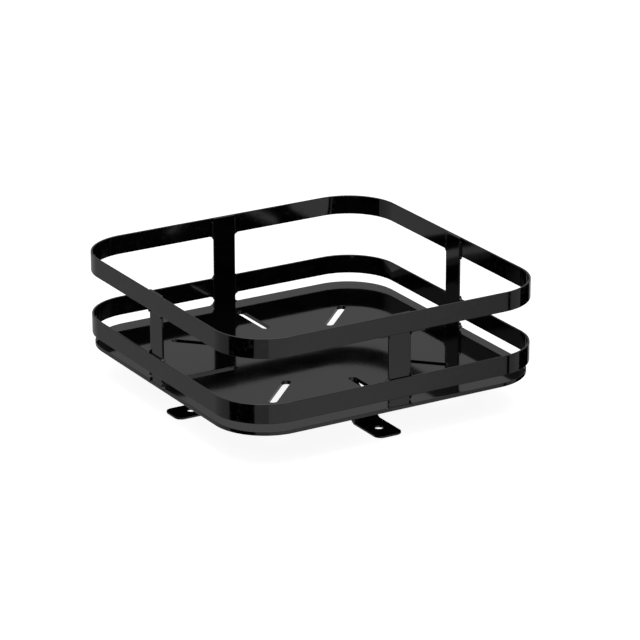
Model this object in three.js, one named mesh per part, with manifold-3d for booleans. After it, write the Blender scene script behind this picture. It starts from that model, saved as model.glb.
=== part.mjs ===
// Square cargo basket: a slotted floor plate, two flat-bar hoops carried by four
// flat-bar posts, and four bent strip feet. Everything is welded flat steel.
// Millimetres, +Z up, the feet stand on z = 0 and the basket is centred on the Z axis.
import * as THREE from "three";
import { mergeVertices } from "three/addons/utils/BufferGeometryUtils.js";
import Module from "manifold-3d";

const wasm = await Module();
wasm.setup();

// Overall size
const WIDTH = 350;            // outside of the hoops, both ways
const CORNER_RADIUS = 55;     // outside corner of a hoop and of the plate
const GAP = 0.3;              // clearance drawn where two pieces are welded together

// Flat bar of the hoops and posts
const BAR_THICKNESS = 2;
const HOOP_HEIGHT = 20;
const POST_WIDTH = 25;
const LOWER_HOOP_LIFT = 9;    // from the plate to the lower hoop
const UPPER_HOOP_LIFT = 75;   // from the plate to the upper hoop

// Floor plate
const PLATE_THICKNESS = 4;
const SLOT_COUNT = 8;
const SLOT_WIDTH = 8.8;
const SLOT_INNER = 82;        // nearest and farthest reach of a slot from the centre
const SLOT_OUTER = 143.5;

// Feet, bent from a thinner strip: pad on the ground, sloping shank, top under the plate
const STRIP_THICKNESS = 2;
const STRIP_WIDTH = 30;
const FOOT_HEIGHT = 33;       // ground to the underside of the plate
const PAD_TIP = 158;          // free end of the pad, from the centre
const PAD_BEND = 112;
const PAD_TIP_RADIUS = 8;
const TOP_BEND = 60;
const TOP_END = 26;
const BOLT_HOLE = 9;
const BOLT_HOLE_REACH = 135;

const PLATE_TOP = FOOT_HEIGHT + PLATE_THICKNESS;
const HOOP_INNER = WIDTH / 2 - BAR_THICKNESS;
const RIM_TOP = PLATE_TOP + UPPER_HOOP_LIFT + HOOP_HEIGHT;
const ARC_STEPS = 12;
const QUARTER = Math.PI / 2;

function paint(roughness) {
  return new THREE.MeshStandardMaterial({ color: 0x0c0c0d, roughness, metalness: 0.1 });
}

// Rounded square outline, used for the plate and for both faces of a hoop.
function roundedSquare(target, half, radius) {
  const straight = half - radius;
  const corners = [[1, 1], [-1, 1], [-1, -1], [1, -1]];
  corners.forEach(([sx, sy], index) => {
    const start = index * QUARTER;
    target.absarc(sx * straight, sy * straight, radius, start, start + QUARTER, false);
  });
  target.closePath();
  return target;
}

// Round-ended slot lying along +X from `near` to `far`.
function slotPath(near, far, width) {
  const radius = width / 2;
  const path = new THREE.Path();
  path.absarc(far - radius, 0, radius, -QUARTER, QUARTER, false);
  path.absarc(near + radius, 0, radius, QUARTER, 3 * QUARTER, false);
  path.closePath();
  return path;
}

function extrude(shape, depth, curveSegments = ARC_STEPS) {
  return new THREE.ExtrudeGeometry(shape, { depth, bevelEnabled: false, curveSegments });
}

function toSolid(geometry) {
  const bare = geometry.clone();
  bare.deleteAttribute("normal");
  bare.deleteAttribute("uv");
  const merged = mergeVertices(bare, 1e-4);
  return new wasm.Manifold(new wasm.Mesh({
    numProp: 3,
    vertProperties: new Float32Array(merged.attributes.position.array),
    triVerts: new Uint32Array(merged.index.array),
  }));
}

function toGeometry(solid) {
  const mesh = solid.getMesh();
  const geometry = new THREE.BufferGeometry();
  geometry.setAttribute("position", new THREE.BufferAttribute(mesh.vertProperties, 3));
  geometry.setIndex(new THREE.BufferAttribute(mesh.triVerts, 1));
  geometry.computeVertexNormals();
  return geometry;
}

function piece(name, geometry, material) {
  const mesh = new THREE.Mesh(geometry, material);
  mesh.name = name;
  return mesh;
}

function makePlate() {
  const outline = roundedSquare(new THREE.Shape(), HOOP_INNER, CORNER_RADIUS);
  let plate = toSolid(extrude(outline, PLATE_THICKNESS));
  const slot = slotPath(SLOT_INNER, SLOT_OUTER, SLOT_WIDTH);
  const cutter = extrude(new THREE.Shape(slot.getPoints(ARC_STEPS)), PLATE_THICKNESS * 3);
  cutter.translate(0, 0, -PLATE_THICKNESS);
  for (let index = 0; index < SLOT_COUNT; index += 1) {
    const turned = cutter.clone().rotateZ((index * 2 * Math.PI) / SLOT_COUNT);
    plate = plate.subtract(toSolid(turned));
  }
  const mesh = piece("Floor_plate", toGeometry(plate), paint(0.12));
  mesh.position.z = FOOT_HEIGHT;
  return mesh;
}

function makeHoop(name, lift) {
  const outline = roundedSquare(new THREE.Shape(), WIDTH / 2, CORNER_RADIUS);
  outline.holes.push(roundedSquare(new THREE.Path(), HOOP_INNER, CORNER_RADIUS - BAR_THICKNESS));
  const mesh = piece(name, extrude(outline, HOOP_HEIGHT), paint(0.18));
  mesh.position.z = PLATE_TOP + lift;
  return mesh;
}

function makePost(name) {
  const bottom = PLATE_TOP + GAP;
  const bar = new THREE.BoxGeometry(BAR_THICKNESS, POST_WIDTH, RIM_TOP - bottom);
  bar.translate(HOOP_INNER - GAP - BAR_THICKNESS / 2, 0, (RIM_TOP + bottom) / 2);
  return piece(name, bar, paint(0.18));
}

// Side view of a foot: x is the distance from the centre, y the height.
function footProfile() {
  const t = STRIP_THICKNESS;
  const top = FOOT_HEIGHT - GAP;
  const slope = Math.atan2(top - t, PAD_BEND - TOP_BEND);
  const lead = t * Math.tan(slope / 2);   // keeps the shank as thick as the strip
  return new THREE.Shape([
    new THREE.Vector2(PAD_TIP, 0),
    new THREE.Vector2(PAD_TIP, t),
    new THREE.Vector2(PAD_BEND + lead, t),
    new THREE.Vector2(TOP_BEND + lead, top),
    new THREE.Vector2(TOP_END, top),
    new THREE.Vector2(TOP_END, top - t),
    new THREE.Vector2(TOP_BEND, top - t),
    new THREE.Vector2(PAD_BEND, 0),
  ]);
}

// The strip seen from above, with the rounded free end and the bolt hole.
function footPlan() {
  const half = STRIP_WIDTH / 2;
  const r = PAD_TIP_RADIUS;
  const plan = new THREE.Shape();
  plan.moveTo(TOP_END - 1, half);
  plan.lineTo(TOP_END - 1, -half);
  plan.absarc(PAD_TIP - r, -half + r, r, -QUARTER, 0, false);
  plan.absarc(PAD_TIP - r, half - r, r, 0, QUARTER, false);
  plan.closePath();
  const hole = new THREE.Path();
  hole.absarc(BOLT_HOLE_REACH, 0, BOLT_HOLE / 2, 0, 2 * Math.PI, false);
  plan.holes.push(hole);
  return plan;
}

function makeFoot(name) {
  const bent = extrude(footProfile(), STRIP_WIDTH);
  bent.rotateX(QUARTER).translate(0, STRIP_WIDTH / 2, 0);
  const plan = extrude(footPlan(), FOOT_HEIGHT * 2);
  plan.translate(0, 0, -FOOT_HEIGHT / 2);
  const strip = toSolid(bent).intersect(toSolid(plan));
  return piece(name, toGeometry(strip), paint(0.2));
}

const SIDES = ["right", "back", "left", "front"];

const basket = new THREE.Group();
basket.name = "Roof_cargo_basket";
basket.add(makePlate());
basket.add(makeHoop("Lower_hoop", LOWER_HOOP_LIFT));
basket.add(makeHoop("Upper_hoop", UPPER_HOOP_LIFT));
SIDES.forEach((side, index) => {
  const arm = new THREE.Group();
  arm.name = `Supports_${side}`;
  arm.rotation.z = index * QUARTER;
  arm.add(makePost(`Post_${side}`));
  arm.add(makeFoot(`Foot_${side}`));
  basket.add(arm);
});

export default basket;
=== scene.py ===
import math

import bmesh
import bpy
from mathutils import Matrix, Vector


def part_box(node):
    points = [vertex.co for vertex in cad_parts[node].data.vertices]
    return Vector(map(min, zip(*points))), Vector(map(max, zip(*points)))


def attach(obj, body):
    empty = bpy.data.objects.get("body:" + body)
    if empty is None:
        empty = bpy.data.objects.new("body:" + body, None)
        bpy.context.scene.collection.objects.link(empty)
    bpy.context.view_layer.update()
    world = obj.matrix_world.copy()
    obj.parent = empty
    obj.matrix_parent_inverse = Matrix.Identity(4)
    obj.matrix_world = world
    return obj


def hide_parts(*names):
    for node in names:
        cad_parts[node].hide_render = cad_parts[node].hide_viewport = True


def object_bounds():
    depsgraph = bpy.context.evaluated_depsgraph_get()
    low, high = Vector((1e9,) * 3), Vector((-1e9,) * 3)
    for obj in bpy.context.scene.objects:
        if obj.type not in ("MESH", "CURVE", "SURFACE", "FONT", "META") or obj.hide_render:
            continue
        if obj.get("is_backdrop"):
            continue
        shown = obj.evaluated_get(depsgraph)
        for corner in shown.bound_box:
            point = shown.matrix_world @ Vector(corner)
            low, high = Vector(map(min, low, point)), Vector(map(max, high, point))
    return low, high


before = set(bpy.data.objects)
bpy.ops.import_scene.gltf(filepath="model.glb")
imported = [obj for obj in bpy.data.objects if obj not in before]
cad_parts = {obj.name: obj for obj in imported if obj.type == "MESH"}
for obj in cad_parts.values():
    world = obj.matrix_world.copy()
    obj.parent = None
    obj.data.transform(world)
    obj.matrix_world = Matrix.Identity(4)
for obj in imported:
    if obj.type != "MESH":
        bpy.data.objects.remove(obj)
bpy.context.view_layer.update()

# ---------------------------------------------------------------- sizes from the CAD frame
plate_low, plate_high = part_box("Floor_plate")
lower_low, lower_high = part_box("Lower_hoop")
upper_low, upper_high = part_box("Upper_hoop")
_, post_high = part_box("Post_right")
foot_low, foot_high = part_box("Foot_right")

SIDES = ("right", "back", "left", "front")
HALF = upper_high.x
PLATE_BOTTOM = plate_low.z
PLATE_TOP = plate_high.z
POST_HALF = post_high.y
STRIP_HALF = foot_high.y
QUARTER = math.pi / 2

# The sizes below repeat those of part.mjs, which a box can't give.
CORNER = 0.055  # outside corner of a hoop and of the plate
BAR = 0.002  # thickness of the hoops and posts
INNER = HALF - BAR
STRIP = 0.002  # thickness of the feet
SLOT_COUNT = 8
SLOT_NEAR, SLOT_FAR, SLOT_WIDTH = 0.082, 0.1435, 0.0088
PAD_BEND, TOP_BEND = 0.112, 0.060
HOLE_REACH, HOLE_RADIUS = 0.135, 0.0045
TIP_RADIUS = 0.008

# Softened edges: how far each one is rounded, and how far its rubbed paint reaches inward.
PLATE_EDGE, PLATE_FADE = 0.0005, 0.0012
HOOP_EDGE = 0.0006
STRIP_EDGE, STRIP_FADE = 0.0004, 0.0008
HOLE_EDGE = 0.00015
SHEARED_CORNER = 0.0008
EDGE_STEPS = 4

# How rubbed the paint is, from 0 to 1, where an edge starts to turn and on the welds.
RIM_START_WEAR = 0.35
BEAD_WEAR, FILLET_WEAR = 0.25, 0.2

# Faces that would coincide are held this far apart.
POST_CLEARANCE = 0.00003


# ---------------------------------------------------------------- outlines
def arc(cx, cy, radius, start, end, steps):
    return [
        (
            cx + radius * math.cos(start + (end - start) * i / steps),
            cy + radius * math.sin(start + (end - start) * i / steps),
        )
        for i in range(steps + 1)
    ]


def rounded_rectangle(x0, x1, y0, y1, radii, inset, steps):
    """Counter-clockwise outline; radii run from the (x1, y1) corner round to (x1, y0)."""
    loop = []
    corners = ((x1, y1, -1, -1), (x0, y1, 1, -1), (x0, y0, 1, 1), (x1, y0, -1, 1))
    for i, (x, y, sx, sy) in enumerate(corners):
        r = radii[i]
        turn = arc(
            x + sx * r,
            y + sy * r,
            max(r - inset, 1e-5),
            i * QUARTER,
            (i + 1) * QUARTER,
            steps,
        )
        if inset > r:
            shift = inset - r
            turn = [(px + sx * shift, py + sy * shift) for px, py in turn]
        loop += turn
    return loop


def rounded_square(half, inset, steps=28):
    return rounded_rectangle(-half, half, -half, half, [CORNER] * 4, inset, steps)


def slot_outline(near, far, width, angle, grow, steps):
    r = width / 2
    loop = arc(far - r, 0, r + grow, -QUARTER, QUARTER, steps)
    loop += arc(near + r, 0, r + grow, QUARTER, 3 * QUARTER, steps)
    c, s = math.cos(angle), math.sin(angle)
    return [(c * x - s * y, s * x + c * y) for x, y in loop]


def round_outline(cx, cy, radius, steps):
    return arc(cx, cy, radius, 0, 2 * math.pi, steps)[:-1]


# ---------------------------------------------------------------- meshes
def new_mesh():
    """Empty mesh, and its layer that says how rubbed the paint is at each vertex."""
    bm = bmesh.new()
    return bm, bm.verts.layers.float.new("wear")


def add_ring(bm, layer, points, value):
    ring = []
    for point in points:
        vert = bm.verts.new(point)
        vert[layer] = value
        ring.append(vert)
    return ring


def flat_ring(bm, layer, points, z, value):
    return add_ring(bm, layer, [(x, y, z) for x, y in points], value)


def bridge(bm, a, b, flip=False):
    for i in range(len(a)):
        j = (i + 1) % len(a)
        quad = (a[i], a[j], b[j], b[i])
        bm.faces.new(tuple(reversed(quad)) if flip else quad)


def bridge_closed_ends(bm, rings):
    for a, b in zip(rings, rings[1:]):
        bridge(bm, a, b)
    bm.faces.new(rings[0])
    bm.faces.new(rings[-1])


def rim_wear(i):
    """Rubbed paint at step i round a softened edge: most in the middle of the turn."""
    return math.sin(math.pi * i / EDGE_STEPS) * (1 - RIM_START_WEAR) + RIM_START_WEAR


def rim_profile(thickness, edge, fade):
    """(inset, height, wear) from the bottom face round a softened rim to the top face."""
    half = [(edge + fade, 0.0, 0.0)]
    for i in range(EDGE_STEPS + 1):
        t = QUARTER * i / EDGE_STEPS
        half.append((edge * (1 - math.sin(t)), edge * (1 - math.cos(t)), rim_wear(i)))
    return half + [(inset, thickness - z, wear) for inset, z, wear in reversed(half)]


def cut_sheet(name, outline, holes, thickness, edge, fade):
    """Flat sheet with softened rims. outline(inset) and each hole(grow) give the loops."""
    bm, wear = new_mesh()
    bottom_loops, top_loops = [], []
    for path, inward in [(outline, True)] + [(hole, False) for hole in holes]:
        rings = [
            flat_ring(bm, wear, path(inset), z, value)
            for inset, z, value in rim_profile(thickness, edge if inward else HOLE_EDGE, fade)
        ]
        for a, b in zip(rings, rings[1:]):
            bridge(bm, a, b, flip=not inward)
        bottom_loops.append(rings[0])
        top_loops.append(rings[-1])
    for loops in (bottom_loops, top_loops):
        edges = []
        for ring in loops:
            for i in range(len(ring)):
                pair = (ring[i], ring[(i + 1) % len(ring)])
                edges.append(bm.edges.get(pair) or bm.edges.new(pair))
        bmesh.ops.triangle_fill(bm, edges=edges, use_beauty=True, use_dissolve=False)
    return finish_solid(name, bm)


def finish_mesh(name, bm):
    for face in bm.faces:
        face.smooth = True
    mesh = bpy.data.meshes.new(name)
    bm.to_mesh(mesh)
    bm.free()
    obj = bpy.data.objects.new(name, mesh)
    bpy.context.scene.collection.objects.link(obj)
    return obj


def finish_solid(name, bm):
    bmesh.ops.recalc_face_normals(bm, faces=bm.faces)
    return finish_mesh(name, bm)


def keep_flats(obj):
    """Flat faces shade flat and only the small rims turn the light."""
    mod = obj.modifiers.new("flats", "WEIGHTED_NORMAL")
    mod.mode = "FACE_AREA"
    mod.weight = 80
    mod.keep_sharp = False


def bent_hoop(name, low, high):
    """Flat bar on edge, bent round four corners, with softened long edges."""
    bm, wear = new_mesh()
    rings = []
    # Each corner of the bar's section: distance in from the outside, height, where its turn
    # starts, and which way its centre lies.
    corners = (
        (0, high, QUARTER, 1, -1),
        (0, low, 0, 1, 1),
        (BAR, low, 3 * QUARTER, -1, 1),
        (BAR, high, 2 * QUARTER, -1, -1),
    )
    for inset, z, start, to_inset, to_z in corners:
        for i in range(EDGE_STEPS + 1):
            t = start - QUARTER * i / EDGE_STEPS
            off = inset + to_inset * HOOP_EDGE - HOOP_EDGE * math.cos(t)
            lift = z + to_z * HOOP_EDGE + HOOP_EDGE * math.sin(t)
            rings.append(flat_ring(bm, wear, rounded_square(HALF, off), lift, rim_wear(i)))
    for i in range(len(rings)):
        bridge(bm, rings[i], rings[(i + 1) % len(rings)])
    obj = finish_solid(name, bm)
    keep_flats(obj)
    return obj


def turn_side(obj, index):
    obj.data.transform(Matrix.Rotation(index * QUARTER, 4, "Z"))


# ---------------------------------------------------------------- node helpers
def new_node(tree, kind, **settings):
    node = tree.nodes.new(kind)
    for name, value in settings.items():
        setattr(node, name, value)
    return node


def feed(tree, socket, value):
    """A socket takes a number or colour as it is, and another node's output by a link."""
    if isinstance(value, (int, float, tuple)):
        socket.default_value = value
    else:
        tree.links.new(value, socket)


def calculate(tree, kind, a, b):
    node = new_node(tree, "ShaderNodeMath", operation=kind)
    feed(tree, node.inputs[0], a)
    feed(tree, node.inputs[1], b)
    return node.outputs[0]


def smooth_range(tree, value, low, high, to_low=0.0, to_high=1.0):
    node = new_node(tree, "ShaderNodeMapRange", interpolation_type="SMOOTHSTEP")
    feed(tree, node.inputs["Value"], value)
    feed(tree, node.inputs["From Min"], low)
    feed(tree, node.inputs["From Max"], high)
    feed(tree, node.inputs["To Min"], to_low)
    feed(tree, node.inputs["To Max"], to_high)
    return node.outputs["Result"]


# ---------------------------------------------------------------- materials
# Noise patterns, as (scale in cycles per metre, detail, roughness).
CLOUD_NOISE = (22, 3, 0.5)
SPECK_NOISE = (1900, 2, 0.5)
PEEL_NOISE = (520, 1.5, 0.4)
RUB_NOISE = (160, 4, 0.6)
HAIR_NOISE = (5, 4, 0.6)
# Two crossing sets of hairlines, as (stretch of the noise, turn about Z, mask limits).
HAIRLINES = (
    ((6, 170, 170), 0.5, (0.68, 0.80)),
    ((150, 7, 150), -0.35, (0.70, 0.82)),
)
# Noise values at which each mask starts and is full.
HAIR_CLOUDS, CLOUD_TINT, CLOUD_GLOSS = (0.40, 0.70), (0.3, 0.75), (0.25, 0.8)
DUST_LIMITS, RUB_LIMITS = (0.66, 0.78), (0.52, 0.72)
# What each mask does: mixes in a colour, makes the paint rougher, raises it.
DUST_COLOUR, DUST_TINT = (0.010, 0.010, 0.0105, 1), 0.25
RUBBED_COLOUR, RUB_TINT = (0.030, 0.030, 0.031, 1), 0.50
HAIR_ROUGH, DUST_ROUGH, RUB_ROUGH = 0.10, 0.06, 0.16
GLOSSIER, DULLER = 0.015, 0.02
HAIR_HEIGHT, DUST_HEIGHT = -0.10, 0.12
BUMP_STRENGTH, BUMP_DISTANCE = 0.55, 0.00004
PAINT_IOR = 1.5


def paint(name, shade, rough, peel, seed, scuffs):
    """Gloss black powder coat: orange peel, cloudy gloss, fine hairlines and rubbed rims.

    shade is the darkest colour and rough the usual roughness. peel and scuffs say how strong
    the orange peel and the hairlines are, and seed moves the pattern.
    """
    mat = bpy.data.materials.new(name)
    mat.use_nodes = True
    tree = mat.node_tree
    tree.nodes.clear()
    out = new_node(tree, "ShaderNodeOutputMaterial")
    shader = new_node(tree, "ShaderNodeBsdfPrincipled")
    tree.links.new(shader.outputs["BSDF"], out.inputs["Surface"])
    place = new_node(tree, "ShaderNodeTexCoord").outputs["Object"]

    def mapped(scale, turn=(0, 0, 0)):
        node = new_node(tree, "ShaderNodeMapping")
        feed(tree, node.inputs["Vector"], place)
        feed(tree, node.inputs["Location"], (seed, seed * 0.7, seed * 1.3))
        feed(tree, node.inputs["Rotation"], turn)
        feed(tree, node.inputs["Scale"], scale)
        return node.outputs["Vector"]

    def noise(vector, pattern):
        scale, detail, roughness = pattern
        node = new_node(tree, "ShaderNodeTexNoise")
        feed(tree, node.inputs["Vector"], vector)
        feed(tree, node.inputs["Scale"], scale)
        feed(tree, node.inputs["Detail"], detail)
        feed(tree, node.inputs["Roughness"], roughness)
        return node.outputs["Fac"]

    def mask(value, limits, top=1):
        return smooth_range(tree, value, *limits, 0, top)

    def times(a, b):
        return calculate(tree, "MULTIPLY", a, b)

    def plus(a, b):
        return calculate(tree, "ADD", a, b)

    def blend(amount, a, b):
        node = new_node(tree, "ShaderNodeMix", data_type="RGBA")
        feed(tree, node.inputs["Factor"], amount)
        feed(tree, node.inputs["A"], a)
        feed(tree, node.inputs["B"], b)
        return node.outputs["Result"]

    # Slow clouds, then the masks: crossing hairlines, rubbed rims and dust.
    even = mapped((1, 1, 1))
    clouds = noise(even, CLOUD_NOISE)
    hair_a, hair_b = (
        mask(noise(mapped(stretch, (0, 0, turn)), HAIR_NOISE), limits)
        for stretch, turn, limits in HAIRLINES
    )
    hair = times(calculate(tree, "MAXIMUM", hair_a, hair_b), mask(clouds, HAIR_CLOUDS, scuffs))
    edge = new_node(tree, "ShaderNodeAttribute", attribute_name="wear").outputs["Fac"]
    rub = times(edge, mask(noise(even, RUB_NOISE), RUB_LIMITS))
    dust = mask(noise(even, SPECK_NOISE), DUST_LIMITS)

    dark = (shade, shade, shade * 1.06, 1)
    soft = (shade * 1.7, shade * 1.7, shade * 1.8, 1)
    colour = blend(mask(clouds, CLOUD_TINT), dark, soft)
    colour = blend(times(dust, DUST_TINT), colour, DUST_COLOUR)
    colour = blend(times(rub, RUB_TINT), colour, RUBBED_COLOUR)
    tree.links.new(colour, shader.inputs["Base Color"])

    dullness = smooth_range(tree, clouds, *CLOUD_GLOSS, rough - GLOSSIER, rough + DULLER)
    for marks, added in ((hair, HAIR_ROUGH), (dust, DUST_ROUGH), (rub, RUB_ROUGH)):
        dullness = plus(dullness, times(marks, added))
    tree.links.new(dullness, shader.inputs["Roughness"])

    height = plus(times(noise(even, PEEL_NOISE), peel), times(hair, HAIR_HEIGHT))
    height = plus(height, times(dust, DUST_HEIGHT))
    bump = new_node(tree, "ShaderNodeBump")
    bump.inputs["Strength"].default_value = BUMP_STRENGTH
    bump.inputs["Distance"].default_value = BUMP_DISTANCE
    tree.links.new(height, bump.inputs["Height"])
    tree.links.new(bump.outputs["Normal"], shader.inputs["Normal"])
    shader.inputs["IOR"].default_value = PAINT_IOR
    return mat


plate_paint = paint(
    "plate_gloss_black", shade=0.0004, rough=0.065, peel=0.06, seed=3.0, scuffs=0.6
)
bar_paint = paint(
    "bar_gloss_black", shade=0.0004, rough=0.085, peel=0.12, seed=11.0, scuffs=0.4
)
foot_paint = paint(
    "foot_gloss_black", shade=0.0004, rough=0.10, peel=0.14, seed=23.0, scuffs=0.5
)
weld_paint = paint(
    "weld_gloss_black", shade=0.0005, rough=0.15, peel=0.30, seed=37.0, scuffs=0.2
)


def place_piece(obj, mat, slot, *nodes):
    obj.data.materials.clear()
    obj.data.materials.append(mat)
    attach(obj, "root")
    if nodes:
        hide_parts(*nodes)


# ---------------------------------------------------------------- floor plate
def plate_outline(inset):
    return rounded_square(INNER, inset)


def plate_slot(index):
    angle = index * 2 * math.pi / SLOT_COUNT
    return lambda grow: slot_outline(SLOT_NEAR, SLOT_FAR, SLOT_WIDTH, angle, grow, 14)


plate = cut_sheet(
    "plate_sheet",
    plate_outline,
    [plate_slot(i) for i in range(SLOT_COUNT)],
    PLATE_TOP - PLATE_BOTTOM,
    PLATE_EDGE,
    PLATE_FADE,
)
plate.data.transform(Matrix.Translation((0, 0, PLATE_BOTTOM)))
keep_flats(plate)
place_piece(plate, plate_paint, "plate_paint", "Floor_plate")

# ---------------------------------------------------------------- hoops
for label, low, high in (
    ("Lower_hoop", lower_low, lower_high),
    ("Upper_hoop", upper_low, upper_high),
):
    hoop = bent_hoop(label.lower() + "_bar", low.z, high.z)
    place_piece(hoop, bar_paint, "bar_paint", label)


# ---------------------------------------------------------------- posts
def make_post(side, index):
    """Flat bar standing on the plate against the inner faces of the hoops."""
    height = post_high.z - PLATE_TOP
    radii = [SHEARED_CORNER] * 4

    def outline(inset):
        return rounded_rectangle(-POST_HALF, POST_HALF, 0, height, radii, inset, 4)

    post = cut_sheet(f"post_bar_{side}", outline, [], BAR, STRIP_EDGE, STRIP_FADE)
    # The sheet's x, y and z become across, up and outward.
    to_stand = Matrix(((0, 0, 1, 0), (1, 0, 0, 0), (0, 1, 0, 0), (0, 0, 0, 1)))
    reach = INNER - BAR - POST_CLEARANCE
    post.data.transform(Matrix.Translation((reach, 0, PLATE_TOP)) @ to_stand)
    turn_side(post, index)
    keep_flats(post)
    place_piece(post, bar_paint, "bar_paint", f"Post_{side}")


# ---------------------------------------------------------------- feet
BEND_RADIUS = 0.004
BEND_CUTS = 8


def foot_path():
    """The strip's centre line from its free end, as (length, curvature) runs, and its start."""
    top = PLATE_BOTTOM - STRIP / 2
    rise, run = top - STRIP / 2, PAD_BEND - TOP_BEND
    slope = math.atan2(rise, run)
    lead = STRIP / 2 * math.tan(slope / 2)
    trim = BEND_RADIUS * math.tan(slope / 2)
    tip = foot_high.x
    shank = math.hypot(rise, run)
    return [
        (tip - PAD_BEND - lead - trim, 0.0),
        (BEND_RADIUS * slope, 1 / BEND_RADIUS),
        (shank - 2 * trim, 0.0),
        (BEND_RADIUS * slope, -1 / BEND_RADIUS),
        (TOP_BEND + lead - trim - foot_low.x, 0.0),
    ], Vector((tip, 0, STRIP / 2))


def bend_strip(obj, runs, start):
    """Maps x = distance along the strip, z = height above its centre onto the bent path."""
    for vert in obj.data.vertices:
        left, across, lift = vert.co
        at, angle = Vector(start), 0.0
        for length, curve in runs:
            step = min(left, length)
            if curve == 0:
                at += Vector((-math.cos(angle), 0, math.sin(angle))) * step
            elif step > 0:
                end = angle + curve * step
                at.x -= (math.sin(end) - math.sin(angle)) / curve
                at.z -= (math.cos(end) - math.cos(angle)) / curve
                angle = end
            left -= step
            if left <= 0:
                break
        at += Vector((-math.cos(angle), 0, math.sin(angle))) * max(left, 0)
        normal = Vector((math.sin(angle), 0, math.cos(angle)))
        vert.co = at + normal * lift + Vector((0, across, 0))


def cut_for_bending(obj, runs):
    """Adds cross cuts at both ends of each bend and through it."""
    bm = bmesh.new()
    bm.from_mesh(obj.data)
    mark = 0.0
    for length, curve in runs:
        cuts = BEND_CUTS if curve else 1
        for at in (mark + length * i / cuts for i in range(cuts)):
            if at > 0:
                everything = list(bm.verts) + list(bm.edges) + list(bm.faces)
                bmesh.ops.bisect_plane(
                    bm, geom=everything, plane_co=(at, 0, 0), plane_no=(1, 0, 0), dist=1e-7
                )
        mark += length
    bm.to_mesh(obj.data)
    bm.free()


def make_foot(side, index):
    runs, start = foot_path()
    length = sum(run for run, _ in runs)
    radii = [SHEARED_CORNER, TIP_RADIUS, TIP_RADIUS, SHEARED_CORNER]

    def outline(inset):
        return rounded_rectangle(0, length, -STRIP_HALF, STRIP_HALF, radii, inset, 8)

    def hole(grow):
        return round_outline(start.x - HOLE_REACH, 0, HOLE_RADIUS + grow, 32)

    foot = cut_sheet(f"foot_strip_{side}", outline, [hole], STRIP, STRIP_EDGE, STRIP_FADE)
    foot.data.transform(Matrix.Translation((0, 0, -STRIP / 2)))
    cut_for_bending(foot, runs)
    bend_strip(foot, runs, start)
    for face in foot.data.polygons:
        face.use_smooth = True
    turn_side(foot, index)
    keep_flats(foot)
    place_piece(foot, foot_paint, "foot_paint", f"Foot_{side}")


# ---------------------------------------------------------------- weld beads
BEAD_PITCH = 0.0011  # from one ripple to the next
BEAD_RADIUS = 0.0011
FOOT_BEAD_RADIUS = 0.0015
BEAD_SINK = 0.0004  # how far a bead's centre lies inside the corner it fills
BEAD_LAG = 0.0004  # lean of the ripples along the run
BEAD_MARGIN, RIM_MARGIN = 0.0005, 0.004  # a post's bead stops short of the bar's edge and rim
FOOT_BEAD_OUT, FOOT_BEAD_DOWN = 0.0003, 0.0006  # its centre, from the strip and the plate
FOOT_BEAD_START, FOOT_BEAD_END = 0.003, 0.004  # short of the strip's end and of its bend
FILLET_RADIUS = 0.0032
FILLET_SINK = 0.0006
FILLET_IN, FILLET_OUT = 0.0019, 0.0017  # reach either side of the hoop's inner face
FILLET_CHAMFER = 0.0004


def bead(bm, layer, start, end, radius, around=10):
    """A painted-over fillet weld: a rippled half-buried run with rounded ends."""
    start, end = Vector(start), Vector(end)
    axis = (end - start).normalized()
    side = axis.orthogonal().normalized()
    other = axis.cross(side)
    length = (end - start).length
    count = max(8, round(length / BEAD_PITCH * 4))
    rings = []
    for i in range(count + 1):
        s = length * i / count
        from_end = min(s, length - s)
        cap = math.sqrt(max(0.0, 1 - (1 - min(from_end / radius, 1)) ** 2))
        ripple = 1 + 0.07 * math.cos(2 * math.pi * s / BEAD_PITCH)
        wobble = 1 + 0.05 * math.sin(s * 900 + start.x * 400 + start.y * 700)
        r = max(radius * cap * ripple * wobble, 1e-5)
        points = []
        for k in range(around):
            a = 2 * math.pi * k / around
            lag = axis * (BEAD_LAG * math.cos(a))
            points.append(
                start + axis * s + lag + (side * math.cos(a) + other * math.sin(a)) * r
            )
        rings.append(add_ring(bm, layer, points, BEAD_WEAR))
    bridge_closed_ends(bm, rings)


def corner_fillet(bm, layer, y, z, to_y, to_z):
    """Concave weld fillet that fills the corner at (y, z) and runs out along both bars."""
    x0, x1 = INNER - FILLET_IN, INNER + FILLET_OUT
    flat = [(-FILLET_SINK, -FILLET_SINK), (FILLET_RADIUS, -FILLET_SINK)]
    flat += arc(FILLET_RADIUS, FILLET_RADIUS, FILLET_RADIUS, -QUARTER, -2 * QUARTER, 8)
    flat.append((-FILLET_SINK, FILLET_RADIUS))
    rings = []
    for x, shrink in (
        (x0, FILLET_CHAMFER),
        (x0 + FILLET_CHAMFER, 0.0),
        (x1 - FILLET_CHAMFER, 0.0),
        (x1, FILLET_CHAMFER),
    ):
        points = []
        for u, v in flat:
            u, v = max(u - shrink, -FILLET_SINK), max(v - shrink, -FILLET_SINK)
            points.append((x, y + to_y * u, z + to_z * v))
        rings.append(add_ring(bm, layer, points, FILLET_WEAR))
    bridge_closed_ends(bm, rings)


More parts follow.
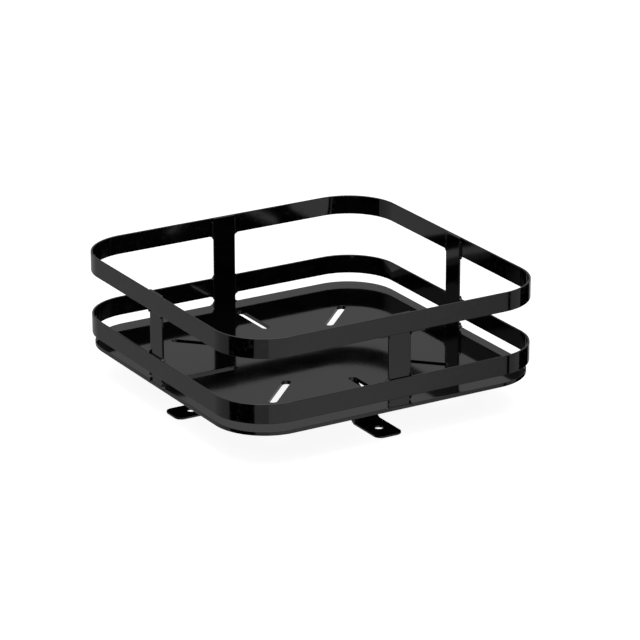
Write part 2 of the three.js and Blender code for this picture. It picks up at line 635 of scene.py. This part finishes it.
def make_welds(side, index):
    """Beads along the posts behind the hoops, fillets at their corners, beads at the foot."""
    bm, layer = new_mesh()
    for s in (1, -1):
        x, y = INNER - BEAD_SINK, s * (POST_HALF + BEAD_SINK)
        for low, high in (
            (lower_low.z + BEAD_MARGIN, lower_high.z - BEAD_MARGIN),
            (upper_low.z + BEAD_MARGIN, upper_high.z - RIM_MARGIN),
        ):
            bead(bm, layer, (x, y, low), (x, y, high), BEAD_RADIUS)
        for z, up in ((PLATE_TOP, 1), (lower_low.z, -1), (lower_high.z, 1), (upper_low.z, -1)):
            corner_fillet(bm, layer, s * POST_HALF, z, s, up)
        y, z = s * (STRIP_HALF + FOOT_BEAD_OUT), PLATE_BOTTOM - FOOT_BEAD_DOWN
        start, end = foot_low.x + FOOT_BEAD_START, TOP_BEND - FOOT_BEAD_END
        bead(bm, layer, (start, y, z), (end, y, z), FOOT_BEAD_RADIUS)
    welds = finish_solid(f"weld_beads_{side}", bm)
    turn_side(welds, index)
    place_piece(welds, weld_paint, "bar_paint")


for index, side in enumerate(SIDES):
    make_post(side, index)
    make_foot(side, index)
    make_welds(side, index)

# ---------------------------------------------------------------- floor
FLOOR_SIZE, FLOOR_STEPS = 9.0, 24
FLOOR_DROP = 0.0002  # below the pads, so that the faces don't coincide
FLOOR_GREY = 0.26
FLOOR_GLOW = 0.92


def make_floor():
    """Near-white floor that glossy rays pass, and that is clear from below."""
    bm = bmesh.new()
    bmesh.ops.create_grid(
        bm, x_segments=FLOOR_STEPS, y_segments=FLOOR_STEPS, size=FLOOR_SIZE / 2
    )
    floor = finish_mesh("studio_floor", bm)
    floor.location.z = -FLOOR_DROP
    mat = bpy.data.materials.new("pale_floor")
    mat.use_nodes = True
    tree = mat.node_tree
    tree.nodes.clear()
    out = new_node(tree, "ShaderNodeOutputMaterial")
    diffuse = new_node(tree, "ShaderNodeBsdfDiffuse")
    diffuse.inputs["Color"].default_value = (FLOOR_GREY, FLOOR_GREY, FLOOR_GREY, 1)
    glow = new_node(tree, "ShaderNodeEmission")
    glow.inputs["Color"].default_value = (1, 1, 1, 1)
    glow.inputs["Strength"].default_value = FLOOR_GLOW
    both = new_node(tree, "ShaderNodeAddShader")
    tree.links.new(diffuse.outputs[0], both.inputs[0])
    tree.links.new(glow.outputs[0], both.inputs[1])
    clear = new_node(tree, "ShaderNodeBsdfTransparent")
    below = new_node(tree, "ShaderNodeNewGeometry").outputs["Backfacing"]
    pick = new_node(tree, "ShaderNodeMixShader")
    tree.links.new(below, pick.inputs["Fac"])
    tree.links.new(both.outputs[0], pick.inputs[1])
    tree.links.new(clear.outputs[0], pick.inputs[2])
    tree.links.new(pick.outputs[0], out.inputs["Surface"])
    floor.data.materials.append(mat)
    floor.visible_glossy = False
    floor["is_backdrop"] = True


make_floor()

# ---------------------------------------------------------------- studio surroundings
# Panels below the horizon, as (from degree, to degree, brightness) anticlockwise from +X.
PANELS = (
    (29, 48, 0.41),
    (70, 165, 0.37),
    (220, 249, 0.49),
    (249, 303, 0.78),
    (303, 309.5, 0.48),
    (316, 345, 0.44),
)
# Backdrops above the horizon, as (from degree, to degree).
BACKDROPS = ((-60, 150), (325, 420))
BACKDROP_LEVEL = 0.37
PANEL_SOFTNESS, BACKDROP_SOFTNESS = 1.0, 12.0  # degrees either side of an edge
# Heights are the z of the direction, from -1, straight down, to 1, straight up.
PANEL_FOOT = (-0.78, -0.58)
HIGH_GLOW, HIGH_GLOW_RISE = 0.20, (-0.25, -0.12)
LOW_GLOW, LOW_GLOW_FADE = 0.14, (-0.62, -0.45)
HORIZON = (-0.02, 0.10)
SKY_FLOOR, SKY_RISE, SKY_RISE_HEIGHT = 0.08, 0.26, (0.37, 0.55)
TOP_LIGHT, TOP_LIGHT_HEIGHT = 0.9, (0.5, 0.97)


def make_world():
    """Soft panels round the object: their brightness depends only on the direction."""
    world = bpy.data.worlds.new("studio")
    bpy.context.scene.world = world
    world.use_nodes = True
    tree = world.node_tree
    tree.nodes.clear()
    out = new_node(tree, "ShaderNodeOutputWorld")
    split = new_node(tree, "ShaderNodeSeparateXYZ")
    place = new_node(tree, "ShaderNodeTexCoord")
    tree.links.new(place.outputs["Generated"], split.inputs[0])

    def times(a, b):
        return calculate(tree, "MULTIPLY", a, b)

    def plus(a, b):
        return calculate(tree, "ADD", a, b)

    def rest_of(value):
        return calculate(tree, "SUBTRACT", 1.0, value)

    def over(limits):
        return smooth_range(tree, split.outputs["Z"], *limits)

    turn = calculate(tree, "ARCTAN2", split.outputs["Y"], split.outputs["X"])
    degrees = calculate(tree, "FLOORED_MODULO", times(turn, 180 / math.pi), 360.0)

    def panel(start, end, soft):
        rise = smooth_range(tree, degrees, start - soft, start + soft)
        fall = rest_of(smooth_range(tree, degrees, end - soft, end + soft))
        return times(rise, fall)

    low_part = 0.0
    for start, end, brightness in PANELS:
        low_part = plus(low_part, times(panel(start, end, PANEL_SOFTNESS), brightness))
    low_part = times(low_part, over(PANEL_FOOT))
    low_part = plus(low_part, times(over(HIGH_GLOW_RISE), HIGH_GLOW))
    low_part = plus(low_part, times(rest_of(over(LOW_GLOW_FADE)), LOW_GLOW))

    backdrop = 0.0
    for start, end in BACKDROPS:
        backdrop = plus(backdrop, panel(start, end, BACKDROP_SOFTNESS))
    backdrop = times(calculate(tree, "MINIMUM", backdrop, 1.0), BACKDROP_LEVEL)
    dim = plus(SKY_FLOOR, times(over(SKY_RISE_HEIGHT), SKY_RISE))
    sky = calculate(tree, "MAXIMUM", dim, backdrop)
    sky = plus(sky, times(over(TOP_LIGHT_HEIGHT), TOP_LIGHT))

    above = over(HORIZON)
    level = plus(times(low_part, rest_of(above)), times(sky, above))
    seen = new_node(tree, "ShaderNodeLightPath").outputs["Is Camera Ray"]
    mix = new_node(tree, "ShaderNodeMix", data_type="FLOAT")
    tree.links.new(seen, mix.inputs["Factor"])
    tree.links.new(level, mix.inputs["A"])
    mix.inputs["B"].default_value = 1.0
    back = new_node(tree, "ShaderNodeBackground")
    back.inputs["Color"].default_value = (1, 1, 1, 1)
    tree.links.new(mix.outputs["Result"], back.inputs["Strength"])
    tree.links.new(back.outputs[0], out.inputs["Surface"])


make_world()

BOX_SIZE, BOX_HEIGHT, BOX_POWER = 2.4, 2.6, 30


def make_overhead_box():
    """Soft square light straight above; it points down as it is made."""
    light = bpy.data.lights.new("overhead_box", "AREA")
    light.shape = "SQUARE"
    light.size = BOX_SIZE
    light.energy = BOX_POWER
    box = bpy.data.objects.new("overhead_box", light)
    box.location = (0.0, 0.0, BOX_HEIGHT)
    box.visible_camera = False
    bpy.context.scene.collection.objects.link(box)


make_overhead_box()

# ---------------------------------------------------------------- camera
AZIMUTH, ELEVATION, ROLL = math.radians(30.734), math.radians(19.928), math.radians(-0.067)
CAMERA_PLACE = (-1.7094, -2.8978, 1.2913)
camera_data = bpy.data.cameras.new("camera")
camera_data.sensor_width = 36
camera_data.lens = 200.83
camera_data.clip_end = 50
camera = bpy.data.objects.new("camera", camera_data)
bpy.context.scene.collection.objects.link(camera)
forward = Vector(
    (
        math.sin(AZIMUTH) * math.cos(ELEVATION),
        math.cos(AZIMUTH) * math.cos(ELEVATION),
        -math.sin(ELEVATION),
    )
)
right = Vector((math.cos(AZIMUTH), -math.sin(AZIMUTH), 0))
up = right.cross(forward)
basis = Matrix((right, up, -forward)).transposed() @ Matrix.Rotation(ROLL, 3, "Z")
camera.matrix_world = Matrix.Translation(CAMERA_PLACE) @ basis.to_4x4()
bpy.context.scene.camera = camera

bpy.context.scene.view_settings.view_transform = "Standard"
bpy.context.scene.view_settings.look = "None"

# ---------------------------------------------------------------- overall bounds of the scene
low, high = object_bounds()
